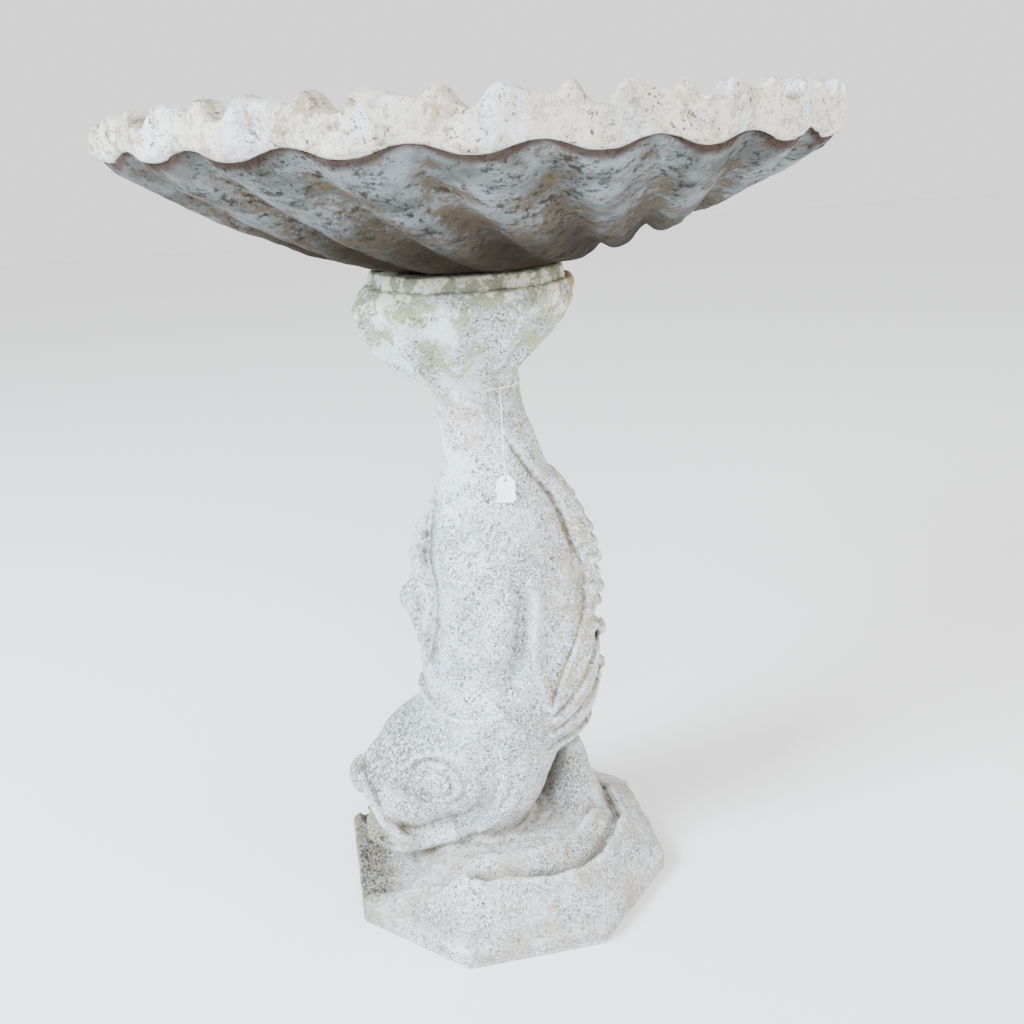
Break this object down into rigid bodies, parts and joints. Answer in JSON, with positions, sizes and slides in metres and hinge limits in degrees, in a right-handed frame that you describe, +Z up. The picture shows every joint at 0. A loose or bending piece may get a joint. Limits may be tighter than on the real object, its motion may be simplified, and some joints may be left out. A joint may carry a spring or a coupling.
{
  "type": "bird bath",
  "caption": "Garden bird bath: a wide fluted shell basin of cast concrete resting on a pedestal cast as a fish standing on its head, on an eight-sided base.",
  "frame": {"origin": "centre of the eight-sided base's underside, on the ground", "axes": "+Z up, the base's flats square to X and Y, the fish's head towards -X, its side towards -Y"},
  "size_m": [0.594, 0.594, 0.7462],
  "materials": {
    "cast_concrete": "weathered granular cast concrete with faint white wash and lichen",
    "painted_concrete": "smooth cast concrete, cream rim, grey and brown stained underside",
    "bedding_mortar": "crumbling mortar with lichen",
    "plain_steel": "plain mild steel, lightly rusted",
    "white_thread": "twisted white cotton thread",
    "tag_paper": "plain white card"
  },
  "bodies": {
    "pedestal": {"fish_pedestal": "cast_concrete", "core_bars": "plain_steel", "core_ties": "plain_steel", "pedestal_socket": "plain_steel", "bedding_mortar": "bedding_mortar", "thread_loop": "white_thread", "thread_knot": "white_thread"},
    "dowel": {"locating_dowel": "plain_steel"},
    "basin": {"basin_shell": "painted_concrete", "basin_socket": "plain_steel", "basin_ring_wires": "plain_steel", "basin_cross_wires": "plain_steel"},
    "swing_tag": {"tag_thread": "white_thread", "tag_card": "tag_paper"}
  },
  "joints": [
    {"name": "basin_turn", "type": "hinge", "parent": "pedestal", "child": "dowel", "pos_m": [0, 0, 0.6], "axis": [0, 0, 1], "continuous": true},
    {"name": "basin_lift", "type": "slide", "parent": "dowel", "child": "basin", "axis": [0, 0, 1], "range_m": [0, 0.06]},
    {"name": "tag_swing", "type": "hinge", "parent": "pedestal", "child": "swing_tag", "pos_m": [0.01623, -0.03516, 0.507], "axis": [-0.1707, -0.9683, 0.1822], "range_deg": [-12, 12]}
  ]
}
